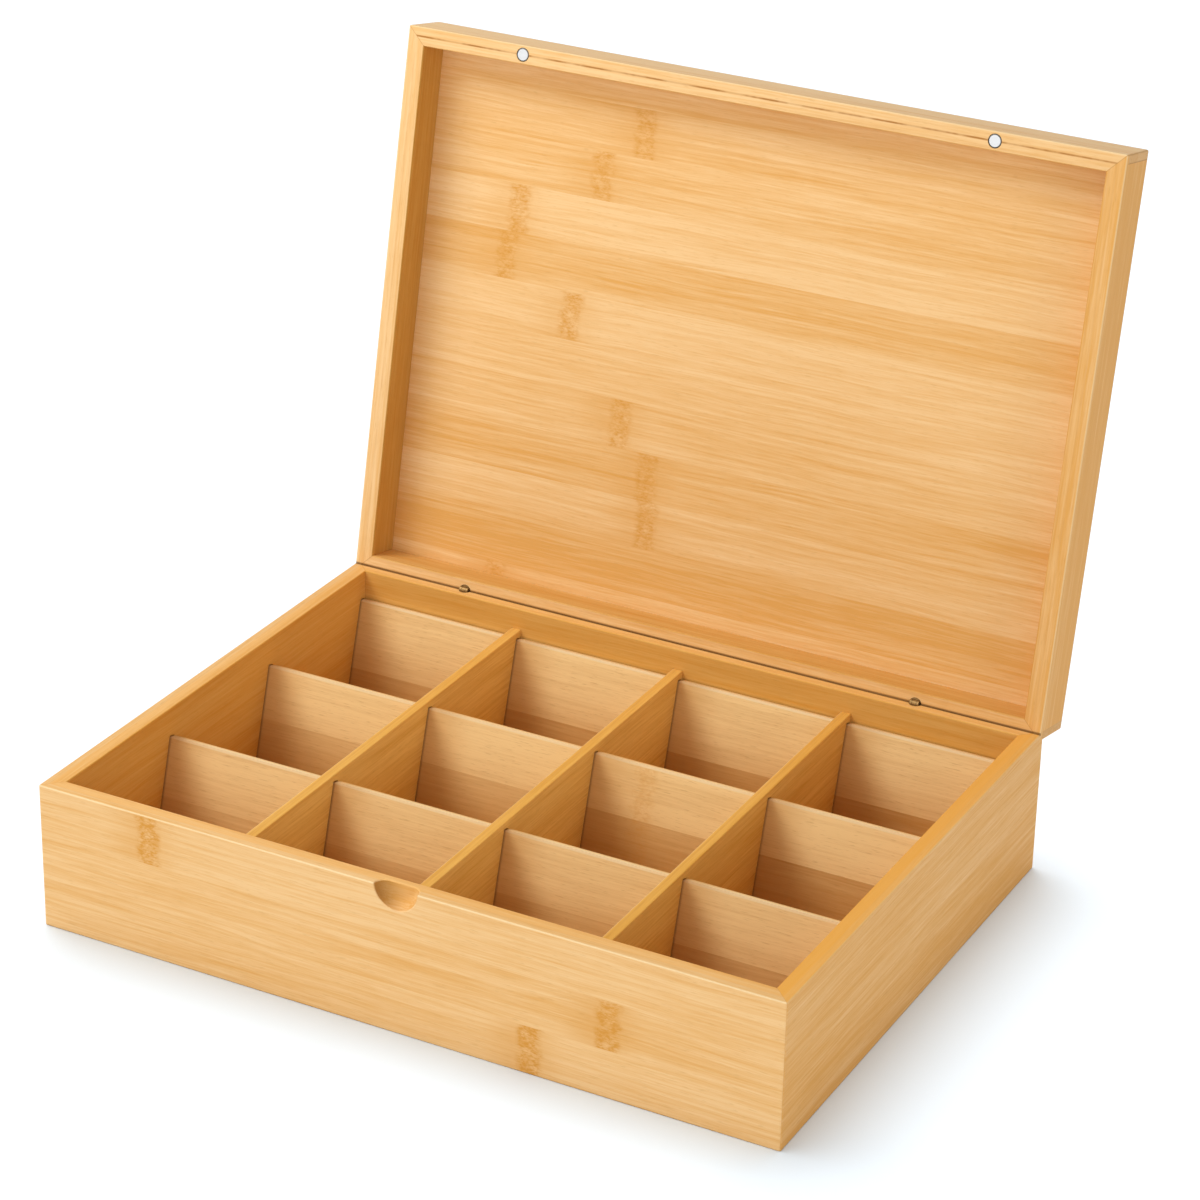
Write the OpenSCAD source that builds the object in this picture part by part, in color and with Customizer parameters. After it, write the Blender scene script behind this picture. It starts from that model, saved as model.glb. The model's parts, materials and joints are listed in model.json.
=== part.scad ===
// Hinged bamboo box with a lid and twelve compartments for tea bags.
// Millimetres. X runs to the right, Y to the back and Z up.
// The origin is the centre of the underside. The lid is drawn open, on its stop.

/* [Base] */
// Outer width, left to right
box_w = 345; // [250:1:450]
// Outer depth, front to back
box_d = 256; // [190:1:340]
// Height of the base, underside to rim
base_h = 67; // [52:1:95]
// Thickness of the base walls and the lid rails
wall = 8.5; // [8:0.25:12]
// Thickness of the bottom board
bottom_t = 5; // [3:0.5:8]
// How far the bottom board reaches under the walls
bottom_seat = 4; // [2:0.5:5]

/* [Dividers] */
// Thickness of the three long dividers
divider_t = 4.8; // [4:0.1:8]
// Distance from the rim down to the top of the dividers
divider_drop = 10; // [4:0.5:16]
// Depth of the housings that hold the divider ends
housing_depth = 2; // [1:0.25:3]

/* [Slanted panels] */
// Thickness of the slanted panels
slat_t = 3; // [2:0.1:5]
// Backward lean of the panels, in degrees
slat_lean = 16; // [0:1:25]
// Distance from the divider tops down to the panel tops
slat_drop = 3; // [0:0.5:10]
// Depth of the slanted grooves that hold the panel ends
groove_depth = 1.2; // [0.8:0.1:1.6]
// Open part of the groove in front of each panel
groove_front = 0.6; // [0.2:0.1:1.2]
// Radius of the upper corners of the panels
slat_corner_r = 2.6; // [1:0.1:6]
// Space between the rear panels and the back wall
slat_rear_gap = 0.7; // [0.3:0.1:4]

/* [Lid] */
// Height of the lid, rim to top
lid_h = 26; // [18:0.5:45]
// Thickness of the lid board
lid_board_t = 6; // [3:0.5:8]
// How far the lid board lies below the top of the lid
lid_board_drop = 1.5; // [0.5:0.25:3]
// How far the lid board reaches into the rails
lid_board_seat = 3.5; // [2:0.5:5]
// Depth of the mitre that shows on the lid rim
lid_mitre_h = 2; // [1:0.5:4]
// Thickness of the outer ply of the front and back lid rails
lid_ply = 4.25; // [3:0.25:5]

/* [Hinges] */
// Opening angle at which the lid rests on its stop, in degrees
open_angle = 101.5; // [92:0.5:110]
// Distance from the rear face to the pivot
pivot_inset = 3.4; // [3.2:0.1:4.2]
// Distance from the side of the box to the middle of a hinge
hinge_inset = 59; // [30:1:90]
// Diameter of the hinge bodies
hinge_body_d = 5.6; // [5.2:0.1:6]
// How far the hinge body lies behind the pivot
hinge_body_back = 0.3; // [0.2:0.1:0.4]
// Length of the hinge body in the base
hinge_base_len = 12; // [8:0.5:20]
// Length of the hinge body in the lid
hinge_lid_len = 10; // [7:0.5:14]
// Outer diameter of the hinge knuckles
knuckle_d = 3.2; // [2.8:0.1:3.3]
// Length of the three knuckles together
knuckle_len = 4.2; // [3.6:0.1:4.3]
// Length of the middle knuckle
knuckle_mid_len = 2; // [1.6:0.1:2.4]
// Diameter of the hinge pin
pin_d = 1.2; // [1:0.1:1.6]

/* [Catch] */
// Diameter of the lid magnets
magnet_d = 6; // [4:0.5:7]
// Thickness of the lid magnets
magnet_t = 3; // [2:0.5:5]
// Distance from the side of the box to a magnet
magnet_inset = 59; // [30:1:90]
// Thickness of the steel discs in the front wall
catch_t = 3; // [1.5:0.5:4]
// Wood left between the rim and a steel disc
catch_cover = 1.2; // [0.6:0.1:3]

/* [Finger notch] */
// Radius of the half-round notch
notch_r = 10; // [7:0.5:16]
// Depth of the notch into the front wall
notch_depth = 5.25; // [3:0.25:6]
// How far the notch goes straight in before its side curves to the back
notch_lip = 0.75; // [0.25:0.25:1.5]

/* [Fits] */
// Gap between the two rims when the lid is closed
rim_gap = 0.4; // [0.2:0.1:1]
// Gap between the rear bevels when the lid is open
stop_gap = 0.1; // [0.05:0.05:0.3]
// Clearance round boards in their seats
board_clear = 0.1; // [0.05:0.05:0.3]
// Clearance round hinge bodies in their holes
hinge_clear = 0.05; // [0.03:0.01:0.1]
// Running clearance of the pin in the middle knuckle
pin_clear = 0.05; // [0.02:0.01:0.08]
// Clearance between knuckles and what turns past them
knuckle_clear = 0.1; // [0.08:0.01:0.15]
// Clearance round a magnet in its pocket
magnet_clear = 0.15; // [0.05:0.05:0.3]

/* [Hidden] */
$fn = 64;

ROW_NAMES = ["front", "middle", "rear"];
DIVIDER_NAMES = ["left", "middle", "right"];
rows = 3;
columns = 4;
over = 1;                                   // how far a cut runs past what it cuts

light_bamboo = [0.93, 0.74, 0.47];
warm_bamboo = [0.89, 0.67, 0.39];
pale_bamboo = [0.95, 0.80, 0.58];
bronze = [0.45, 0.32, 0.18];
steel = [0.78, 0.78, 0.80];

inner_w = box_w - 2 * wall;
inner_d = box_d - 2 * wall;
front_in = -box_d / 2 + wall;               // inner face of the front wall
back_in = box_d / 2 - wall;                 // inner face of the back wall
column_w = (inner_w - (columns - 1) * divider_t) / columns;
divider_top = base_h - divider_drop;
slat_top = divider_top - slat_drop;
slat_run = slat_t / cos(slat_lean);         // a panel's thickness measured along Y
row_d = (inner_d - slat_rear_gap - rows * slat_run) / rows;
slat_len = slat_top / cos(slat_lean) + slat_t;
lid_z = base_h + rim_gap;                   // rim of the closed lid
lid_board_z = lid_z + lid_h - lid_board_drop - lid_board_t;
pivot = [0, box_d / 2 - pivot_inset, base_h + rim_gap / 2];
hinge_x = box_w / 2 - hinge_inset;
magnet_x = box_w / 2 - magnet_inset;
relief = 2 * wall;                          // size of the block that cuts a rear bevel

// left face of compartment column c, counted from 0
function column_x(c) = -inner_w / 2 + c * (column_w + divider_t);
// front upper edge of the panels in row r, counted from 0
function row_y(r) = front_in + (r + 1) * row_d + r * slat_run;

// ---- shared shapes ----

// moves a piece drawn for the closed lid to where the open lid has it
module open_lid() {
    translate(pivot) rotate([-open_angle, 0, 0]) translate(-pivot) children();
}

// places a bar drawn along X with its outer face on Y = 0: 0 front, 1 right, 2 back, 3 left
module on_side(side) {
    reach = side % 2 == 0 ? box_d / 2 : box_w / 2;
    rotate([0, 0, 90 * side]) translate([0, -reach, 0]) children();
}

// bar with ends mitred at 45 degrees
module mitred_bar(side, height) {
    half = (side % 2 == 0 ? box_w : box_d) / 2;
    linear_extrude(height)
        polygon([[-half, 0], [half, 0], [half - wall, wall], [-half + wall, wall]]);
}

// everything above the bevel on which the lid stops, about the pivot
module stop_bevel() {
    rotate([-open_angle / 2, 0, 0])
        translate([-box_w, -over, -stop_gap / 2]) cube([2 * box_w, relief, relief]);
}

// hole for a hinge body, drawn about the pivot and running down
module hinge_hole(length) {
    translate([0, hinge_body_back, -length - hinge_clear])
        cylinder(h = length + hinge_clear + over, d = hinge_body_d + 2 * hinge_clear);
}

// disc along X between two distances from the middle of the hinge
module knuckle(from, to, diameter) {
    translate([from, 0, 0]) rotate([0, 90, 0]) cylinder(h = to - from, d = diameter);
}

// ---- base ----

module wall_blank(side) {
    half = (side % 2 == 0 ? box_w : box_d) / 2;
    on_side(side) difference() {
        mitred_bar(side, base_h);
        translate([-half, wall - bottom_seat, -over])
            cube([2 * half, bottom_seat + over, bottom_t + over]);
    }
}

// housings for the divider ends, on the inner face at y
module divider_housings(y) {
    for (c = [1 : columns - 1])
        translate([column_x(c) - divider_t - board_clear / 2, y - housing_depth, 0])
            cube([divider_t + board_clear, 2 * housing_depth, divider_top + board_clear]);
}

// slanted grooves for the ends of the three rows of panels, on the face at x
module slat_grooves(x) {
    for (r = [0 : rows - 1])
        translate([x - groove_depth, row_y(r), slat_top]) rotate([-slat_lean, 0, 0])
            translate([0, -groove_front, -slat_len])
                cube([2 * groove_depth, groove_front + slat_t, slat_len + board_clear]);
}

module finger_notch() {
    curve = notch_depth - notch_lip;
    translate([0, -box_d / 2, base_h]) rotate([-90, 0, 0]) rotate_extrude() union() {
        translate([0, -over]) square([notch_r, notch_lip + over]);
        translate([0, -over]) square([notch_r - curve, notch_depth + over]);
        intersection() {
            translate([notch_r - curve, notch_lip]) circle(r = curve);
            square(2 * notch_r);
        }
    }
}

// steel disc under the rim, let into the inner face of the front wall
module catch_disc_shape(side, clear) {
    cut = clear > 0 ? over : 0;
    translate([side * magnet_x, front_in + cut, base_h - catch_cover - magnet_d / 2])
        rotate([90, 0, 0])
            cylinder(h = catch_t + clear + cut, d = magnet_d + 2 * clear);
}

module front_wall() {
    color(light_bamboo) difference() {
        wall_blank(0);
        divider_housings(front_in);
        finger_notch();
        for (side = [-1, 1]) catch_disc_shape(side, magnet_clear);
    }
}

module back_wall() {
    color(light_bamboo) difference() {
        wall_blank(2);
        divider_housings(back_in);
        translate(pivot) stop_bevel();
        for (side = [-1, 1])
            translate(pivot + [side * hinge_x, 0, 0]) hinge_hole(hinge_base_len);
    }
}

module side_wall(side) {
    color(light_bamboo) difference() {
        wall_blank(side);
        slat_grooves(side == 1 ? inner_w / 2 : -inner_w / 2);
        translate(pivot) stop_bevel();
    }
}

module bottom_board() {
    w = inner_w + 2 * (bottom_seat - board_clear);
    d = inner_d + 2 * (bottom_seat - board_clear);
    color(warm_bamboo) translate([-w / 2, -d / 2, 0]) cube([w, d, bottom_t]);
}

module divider(c) {
    d = inner_d + 2 * (housing_depth - board_clear);
    color(warm_bamboo) difference() {
        translate([column_x(c) - divider_t, -d / 2, bottom_t])
            cube([divider_t, d, divider_top - bottom_t]);
        slat_grooves(column_x(c));
        slat_grooves(column_x(c) - divider_t);
    }
}

// outline of a panel, upright, with its upper edge on Y = 0
module slat_outline(w) {
    difference() {
        translate([-w / 2, -slat_len]) square([w, slat_len]);
        for (side = [-1, 1]) difference() {
            translate([side * w / 2, 0]) square(2 * slat_corner_r, center = true);
            translate([side * (w / 2 - slat_corner_r), -slat_corner_r]) circle(r = slat_corner_r);
        }
    }
}

module slat(r, c) {
    w = column_w + 2 * (groove_depth - board_clear);
    color(pale_bamboo) difference() {
        translate([column_x(c) + column_w / 2, row_y(r), slat_top])
            rotate([-slat_lean, 0, 0]) rotate([90, 0, 0])
                translate([0, 0, -slat_t]) linear_extrude(slat_t) slat_outline(w);
        translate([-box_w / 2, -box_d / 2, bottom_t - 2 * slat_len])
            cube([box_w, box_d, 2 * slat_len]);
    }
}

module catch_disc(side) {
    color(steel) catch_disc_shape(side, 0);
}

// ---- lid, drawn closed and then opened ----

// groove for the edge of the lid board, all round
module lid_board_groove() {
    w = inner_w + 2 * lid_board_seat;
    d = inner_d + 2 * lid_board_seat;
    translate([-w / 2, -d / 2, lid_board_z - board_clear / 2])
        cube([w, d, lid_board_t + board_clear]);
}

// front and back rails: mitred at the rim, and above it the outer ply runs to the side face
module long_rail_blank(side) {
    on_side(side) translate([0, 0, lid_z]) union() {
        mitred_bar(side, lid_mitre_h);
        translate([-box_w / 2, 0, lid_mitre_h]) cube([box_w, lid_ply, lid_h - lid_mitre_h]);
        translate([-inner_w / 2, 0, lid_mitre_h]) cube([inner_w, wall, lid_h - lid_mitre_h]);
    }
}

module side_rail_blank(side) {
    len = box_d - 2 * lid_ply;
    on_side(side) translate([0, 0, lid_z]) union() {
        mitred_bar(side, lid_mitre_h);
        translate([-len / 2, 0, lid_mitre_h]) cube([len, wall, lid_h - lid_mitre_h]);
    }
}

module lid_front_rail() {
    color(light_bamboo) open_lid() difference() {
        long_rail_blank(0);
        lid_board_groove();
        for (side = [-1, 1]) lid_magnet_shape(side, magnet_clear);
    }
}

module lid_back_rail() {
    color(light_bamboo) open_lid() difference() {
        long_rail_blank(2);
        lid_board_groove();
        translate(pivot) mirror([0, 0, 1]) stop_bevel();
        for (side = [-1, 1]) translate(pivot + [side * hinge_x, 0, 0])
            mirror([0, 0, 1]) hinge_hole(hinge_lid_len);
    }
}

module lid_side_rail(side) {
    color(light_bamboo) open_lid() difference() {
        side_rail_blank(side);
        lid_board_groove();
        translate(pivot) mirror([0, 0, 1]) stop_bevel();
    }
}

module lid_board() {
    w = inner_w + 2 * (lid_board_seat - board_clear);
    d = inner_d + 2 * (lid_board_seat - board_clear);
    color(warm_bamboo) open_lid()
        translate([-w / 2, -d / 2, lid_board_z]) cube([w, d, lid_board_t]);
}

module lid_magnet_shape(side, clear) {
    cut = clear > 0 ? over : 0;
    translate([side * magnet_x, -(box_d - wall) / 2, lid_z - cut])
        cylinder(h = magnet_t + clear + cut, d = magnet_d + 2 * clear);
}

module lid_magnet(side) {
    color(steel) open_lid() lid_magnet_shape(side, 0);
}

// ---- hinges, drawn about the pivot ----

// half of a hinge body: a round plug whose end follows the rim and the bevel
module hinge_plug(length) {
    difference() {
        translate([0, hinge_body_back, -length])
            cylinder(h = length - rim_gap / 2, d = hinge_body_d);
        stop_bevel();
    }
}

module hinge_base(side) {
    turn_d = knuckle_d + 2 * knuckle_clear;
    mid = knuckle_mid_len / 2;
    color(bronze) translate(pivot + [side * hinge_x, 0, 0]) difference() {
        union() {
            difference() {
                hinge_plug(hinge_base_len);
                knuckle(-mid - knuckle_clear / 2, mid + knuckle_clear / 2, turn_d);
            }
            knuckle(-knuckle_len / 2, -mid - knuckle_clear, knuckle_d);
            knuckle(mid + knuckle_clear, knuckle_len / 2, knuckle_d);
        }
        knuckle(-knuckle_len, knuckle_len, pin_d);
    }
}

module hinge_lid(side) {
    turn_d = knuckle_d + 2 * knuckle_clear;
    mid = knuckle_mid_len / 2;
    color(bronze) open_lid() translate(pivot + [side * hinge_x, 0, 0]) difference() {
        union() {
            mirror([0, 0, 1]) difference() {
                hinge_plug(hinge_lid_len);
                knuckle(-hinge_body_d, -mid - knuckle_clear / 2, turn_d);
                knuckle(mid + knuckle_clear / 2, hinge_body_d, turn_d);
            }
            knuckle(-mid, mid, knuckle_d);
        }
        knuckle(-knuckle_len, knuckle_len, pin_d + 2 * pin_clear);
    }
}

module hinge_pin(side) {
    color(bronze) translate(pivot + [side * hinge_x, 0, 0])
        knuckle(-knuckle_len / 2, knuckle_len / 2, pin_d);
}

front_wall();
back_wall();
side_wall(3);  // left_wall
side_wall(1);  // right_wall
bottom_board();
for (c = [1 : columns - 1])
    divider(c);
for (r = [0 : rows - 1], c = [0 : columns - 1])
    slat(r, c);
catch_disc(-1);  // catch_disc_left
catch_disc(1);  // catch_disc_right
lid_front_rail();
lid_back_rail();
lid_side_rail(3);  // lid_left_rail
lid_side_rail(1);  // lid_right_rail
lid_board();
lid_magnet(-1);  // lid_magnet_left
lid_magnet(1);  // lid_magnet_right
hinge_base(-1);  // left_hinge_base
hinge_lid(-1);  // left_hinge_lid
hinge_pin(-1);  // left_hinge_pin
hinge_base(1);  // right_hinge_base
hinge_lid(1);  // right_hinge_lid
hinge_pin(1);  // right_hinge_pin
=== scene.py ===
"""Bamboo box with a hinged lid and twelve compartments: its finish, light and camera.

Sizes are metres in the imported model's frame, and the grain of the wood is written in millimetres.
"""

import json
import math
import random

import bmesh
import bpy
from bpy.props import FloatProperty, FloatVectorProperty, PointerProperty
from mathutils import Matrix, Vector

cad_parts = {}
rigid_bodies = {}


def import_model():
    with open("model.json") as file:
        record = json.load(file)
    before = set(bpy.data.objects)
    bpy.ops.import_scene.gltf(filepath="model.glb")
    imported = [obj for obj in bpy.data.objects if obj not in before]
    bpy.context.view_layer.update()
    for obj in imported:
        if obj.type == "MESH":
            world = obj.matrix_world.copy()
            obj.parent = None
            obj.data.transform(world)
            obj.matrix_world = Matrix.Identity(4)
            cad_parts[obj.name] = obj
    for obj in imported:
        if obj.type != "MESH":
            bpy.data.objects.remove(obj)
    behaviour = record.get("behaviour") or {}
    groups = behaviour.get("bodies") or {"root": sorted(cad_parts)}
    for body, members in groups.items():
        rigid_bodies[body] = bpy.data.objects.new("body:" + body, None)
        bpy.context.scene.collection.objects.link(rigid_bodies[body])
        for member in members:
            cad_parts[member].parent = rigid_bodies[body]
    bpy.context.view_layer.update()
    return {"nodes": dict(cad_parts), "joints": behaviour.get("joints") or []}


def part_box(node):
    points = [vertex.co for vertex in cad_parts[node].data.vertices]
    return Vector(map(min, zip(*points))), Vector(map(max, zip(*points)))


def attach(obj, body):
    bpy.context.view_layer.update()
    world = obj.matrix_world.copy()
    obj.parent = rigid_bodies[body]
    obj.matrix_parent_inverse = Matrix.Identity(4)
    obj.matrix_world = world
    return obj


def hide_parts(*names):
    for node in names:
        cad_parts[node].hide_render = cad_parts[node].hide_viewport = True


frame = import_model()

bl_info = {
    "name": "Bamboo Tea Box",
    "version": (1, 0, 0),
    "blender": (4, 5, 0),
    "location": "3D View > Sidebar > Tea Box",
    "description": "Finishes a bamboo box with a hinged lid, piece by piece",
    "category": "Object",
}

MM = 0.001

# ---- places read from the frame ----

LID_JOINT = frame["joints"][0]
PIVOT = Vector(LID_JOINT["pos_m"])
OPEN_ANGLE = math.radians(LID_JOINT["range_deg"][1])
STAND = Matrix.Identity(4)                    # the base's pieces are already square to the axes
CLOSED = (Matrix.Translation(PIVOT) @ Matrix.Rotation(OPEN_ANGLE, 4, "X")
          @ Matrix.Translation(-PIVOT))       # brings the open lid's pieces square to the axes

BASE_LOW, BASE_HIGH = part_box("front_wall")[0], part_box("right_wall")[1]
HALF_W, HALF_D = BASE_HIGH.x, -BASE_LOW.y
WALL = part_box("front_wall")[1].y + HALF_D
RIM = BASE_HIGH.z / MM                        # millimetres: the height of the base's rim
DIVIDERS = ("divider_left", "divider_middle", "divider_right")
ROWS = ("front", "middle", "rear")
COLUMNS = 4
HOLES_X = [sum(corner.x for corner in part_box(f"lid_magnet_{side}")) / 2 for side in ("left", "right")]

# ---- how faces and edges are told apart, in metres, radians or parts of a unit normal ----

SAME_POINT = 1e-6                             # vertices this near are joined
SAME_PLANE = 1e-5                             # planes this near count as one
ON_CUT = 1e-7                                 # a vertex this near to a cut lies on it
ALONG = 0.999                                 # a normal with more than this of an axis looks along it
ACROSS = 0.02                                 # a normal with less than this of an axis is square to it
FLAT_ANGLE = math.radians(0.5)                # faces that meet at less than this are one flat
SHARP_ANGLE = math.radians(40)                # faces that meet at more than this have a sharp edge
SKIN = 1.5 * MM                               # how far in the rounded faces of the outside reach
PIN_REACH = 0.3 * MM                          # how near to the hinge pins' axis the seam's edges lie
SEAM_LENGTH = 2 * MM                          # the least length of a seam's edge that is eased
NOTCH_HALF, NOTCH_DEEP, NOTCH_DOWN = 12 * MM, 6 * MM, 12 * MM      # a block that holds the finger notch
NOTCH_RIM = 0.45 * MM                         # how far the notch's eased rim reaches in

# ---- the wood, in millimetres ----

FAR = 5000.0                                  # a growth ring that is nowhere on a board
TONE_SPREAD = 0.35                            # how far strips of chance tones differ, either way
LID_GAP = 0.4                                 # between the rims of the base and the closed lid
LID_JOIN = 13.0                               # where the two strips of a lid rail meet, above that rim
LID_STRIP = 22.0                              # the strips that the lid board is glued from
LID_STRIPS_START = -129.0                     # where the first of them starts, from the middle of the box

# ---- colours of the small things on the wood, linear ----

GLUE = (0.66, 0.31, 0.08)
DARK_GLUE = (0.42, 0.165, 0.03)
END_GRAIN = (0.50, 0.24, 0.06)
# painted shade: dark colour in gaps between parts, where shade falls
PAINTED_GAP_SHADE = (0.16, 0.06, 0.01)
# painted shadow in the finger notch
PAINTED_NOTCH_SHADOW = (0.40, 0.18, 0.035)
# painted highlight: a pale line where edges catch the light
PAINTED_HIGHLIGHT = (1.0, 0.80, 0.48)
ORANGE = (0.95, 0.47, 0.085)
WHITE = (1.0, 1.0, 1.0)


# ---- settings that a user would change ----

class TeaBoxEdges(bpy.types.PropertyGroup):
    """How far the edges of the wood and the magnets are eased"""
    corner: FloatProperty(
        name="Upright corners", description="Radius of the outer upright corners",
        default=0.9 * MM, min=0.0, unit="LENGTH")
    rim: FloatProperty(
        name="Rims", description="Radius along the rims of the base and the lid",
        default=0.55 * MM, min=0.0, unit="LENGTH")
    divider: FloatProperty(
        name="Dividers", description="Radius along the tops of the dividers",
        default=0.5 * MM, min=0.0, unit="LENGTH")
    panel: FloatProperty(
        name="Panels", description="Radius round the edges of the slanted panels",
        default=0.4 * MM, min=0.0, unit="LENGTH")
    magnet: FloatProperty(
        name="Magnets", description="Bevel round the faces of the magnets",
        default=0.5 * MM, min=0.0, unit="LENGTH")
    seam: FloatProperty(
        name="Hinge seam", description="Easing of the two edges that meet at the hinge pins",
        default=0.6 * MM, min=0.0, unit="LENGTH")


class TeaBoxWood(bpy.types.PropertyGroup):
    """Colours of the bamboo and the size of its strips"""
    wall_light: FloatVectorProperty(
        name="Walls, light", description="Palest fibre of the walls and the lid",
        default=(0.93, 0.63, 0.315), subtype="COLOR", min=0.0, max=1.0)
    wall_dark: FloatVectorProperty(
        name="Walls, dark", description="Deepest fibre of the walls and the lid",
        default=(0.79, 0.42, 0.12), subtype="COLOR", min=0.0, max=1.0)
    divider_light: FloatVectorProperty(
        name="Dividers, light", description="Palest fibre of the dividers and the bottom",
        default=(0.90, 0.56, 0.165), subtype="COLOR", min=0.0, max=1.0)
    divider_dark: FloatVectorProperty(
        name="Dividers, dark", description="Deepest fibre of the dividers and the bottom",
        default=(0.70, 0.355, 0.06), subtype="COLOR", min=0.0, max=1.0)
    panel_light: FloatVectorProperty(
        name="Panels, light", description="Palest fibre of the slanted panels",
        default=(1.0, 0.71, 0.335), subtype="COLOR", min=0.0, max=1.0)
    panel_dark: FloatVectorProperty(
        name="Panels, dark", description="Deepest fibre of the slanted panels",
        default=(0.54, 0.25, 0.055), subtype="COLOR", min=0.0, max=1.0)
    ring: FloatVectorProperty(
        name="Growth rings", description="Colour of the growth rings",
        default=(0.72, 0.345, 0.07), subtype="COLOR", min=0.0, max=1.0)
    strip: FloatProperty(
        name="Strip", description="Height of the bamboo strips that a wall is glued from",
        default=22.5 * MM, min=2 * MM, unit="LENGTH")


class TeaBoxMetal(bpy.types.PropertyGroup):
    """Colours of the hinges, the magnets and the steel discs"""
    bronze: FloatVectorProperty(
        name="Hinges", description="Colour of the hinges",
        default=(0.34, 0.20, 0.07), subtype="COLOR", min=0.0, max=1.0)
    nickel: FloatVectorProperty(
        name="Magnets", description="Colour of the magnets' plating",
        default=(0.66, 0.67, 0.68), subtype="COLOR", min=0.0, max=1.0)
    # painted shade: the magnets' edge and side are dark where the pocket round them is in shade
    nickel_rim: FloatVectorProperty(
        name="Magnets' rims", description="Colour of the magnets' edge and side",
        default=(0.16, 0.15, 0.14), subtype="COLOR", min=0.0, max=1.0)
    steel: FloatVectorProperty(
        name="Discs", description="Colour of the steel discs in the front wall",
        default=(0.6, 0.6, 0.6), subtype="COLOR", min=0.0, max=1.0)


class TeaBoxStudio(bpy.types.PropertyGroup):
    """Light, floor and camera"""
    sky: FloatProperty(
        name="Sky", description="Strength of the light from all round",
        default=0.43, min=0.0)
    sky_tint: FloatVectorProperty(
        name="Sky tint", description="Colour of the light from all round",
        default=(1.0, 0.94, 0.85), subtype="COLOR", min=0.0, max=1.0)
    key: FloatProperty(
        name="Key lamp", description="Power of the soft box at the left, in watts",
        default=8.8, min=0.0)
    key_place: FloatVectorProperty(
        name="Key lamp place", description="Where the soft box at the left stands",
        default=(-0.72, -0.40, 1.12), subtype="TRANSLATION")
    fill: FloatProperty(
        name="Fill lamp", description="Power of the soft box at the front, in watts",
        default=6.2, min=0.0)
    fill_place: FloatVectorProperty(
        name="Fill lamp place", description="Where the soft box at the front stands",
        default=(-0.20, -1.60, 0.62), subtype="TRANSLATION")
    side: FloatProperty(
        name="Side lamp", description="Power of the soft box at the right, in watts",
        default=3.4, min=0.0)
    side_place: FloatVectorProperty(
        name="Side lamp place", description="Where the soft box at the right stands",
        default=(1.50, -0.45, 0.45), subtype="TRANSLATION")
    box_size: FloatProperty(
        name="Soft box size", description="Side of the square soft boxes at the left and the right",
        default=0.62, min=0.05, unit="LENGTH")
    fill_size: FloatProperty(
        name="Fill lamp size", description="Side of the square soft box at the front",
        default=1.24, min=0.05, unit="LENGTH")
    floor_lamp: FloatProperty(
        name="Floor lamp", description="Strength of the lamp above the floor",
        default=2.9, min=0.0)
    floor_lamp_place: FloatVectorProperty(
        name="Floor lamp place", description="Where the lamp above the floor shines from",
        default=(-0.27, 0.10, 1.0), subtype="TRANSLATION")
    floor_lamp_spread: FloatProperty(
        name="Floor lamp spread", description="Angle that the lamp above the floor fills",
        default=math.radians(60), subtype="ANGLE")
    floor_size: FloatProperty(
        name="Floor size", description="Side of the square floor",
        default=12.0, min=1.0, unit="LENGTH")
    floor_seen: FloatVectorProperty(
        name="Floor, seen", description="Colour of the floor as the camera sees it",
        default=(0.80, 0.90, 1.0), subtype="COLOR", min=0.0, max=1.0)
    floor_bounce: FloatVectorProperty(
        name="Floor, bounce", description="Colour of the light that the floor sends back to the box",
        default=(0.70, 0.69, 0.675), subtype="COLOR", min=0.0, max=1.0)
    camera_place: FloatVectorProperty(
        name="Camera", description="Where the camera stands",
        default=(0.679, -1.2593, 0.8277), subtype="TRANSLATION")
    camera_aim: FloatVectorProperty(
        name="Aim", description="Point that the camera looks at",
        default=(0.0221, 0.0, 0.1466), subtype="TRANSLATION")
    camera_roll: FloatProperty(
        name="Roll", description="Turn of the camera about its own axis",
        default=math.radians(1.24), subtype="ANGLE")
    lens: FloatProperty(
        name="Lens", description="Focal length on a sensor 36 mm wide, in millimetres",
        default=114.66, min=10.0)


class TeaBoxSettings(bpy.types.PropertyGroup):
    """All settings of the box"""
    edges: PointerProperty(type=TeaBoxEdges)
    wood: PointerProperty(type=TeaBoxWood)
    metal: PointerProperty(type=TeaBoxMetal)
    studio: PointerProperty(type=TeaBoxStudio)


# ---- mesh work ----

def cut_through(bm, place, normal, clear_outer=False):
    """Cuts the whole mesh by a plane, and gives the edges on the cut"""
    parts = bm.verts[:] + bm.edges[:] + bm.faces[:]
    cut = bmesh.ops.bisect_plane(bm, geom=parts, dist=ON_CUT, plane_co=place, plane_no=normal,
                                 clear_outer=clear_outer)
    return [part for part in cut["geom_cut"] if isinstance(part, bmesh.types.BMEdge)]


def clean_mesh(node, square):
    """The node's mesh, turned square to the axes, with one face for each flat

    Flats with a round hole are parted through its middle, so that no face has a hole in it.
    """
    bm = bmesh.new()
    bm.from_mesh(frame["nodes"][node].data)
    bmesh.ops.remove_doubles(bm, verts=bm.verts, dist=SAME_POINT)
    bmesh.ops.transform(bm, matrix=square, verts=bm.verts)
    for x in HOLES_X:
        for edge in cut_through(bm, (x, 0, 0), (1, 0, 0)):
            edge.seam = True
    bmesh.ops.dissolve_limit(bm, angle_limit=FLAT_ANGLE, verts=bm.verts, edges=bm.edges, delimit={"SEAM"})
    return bm


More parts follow.
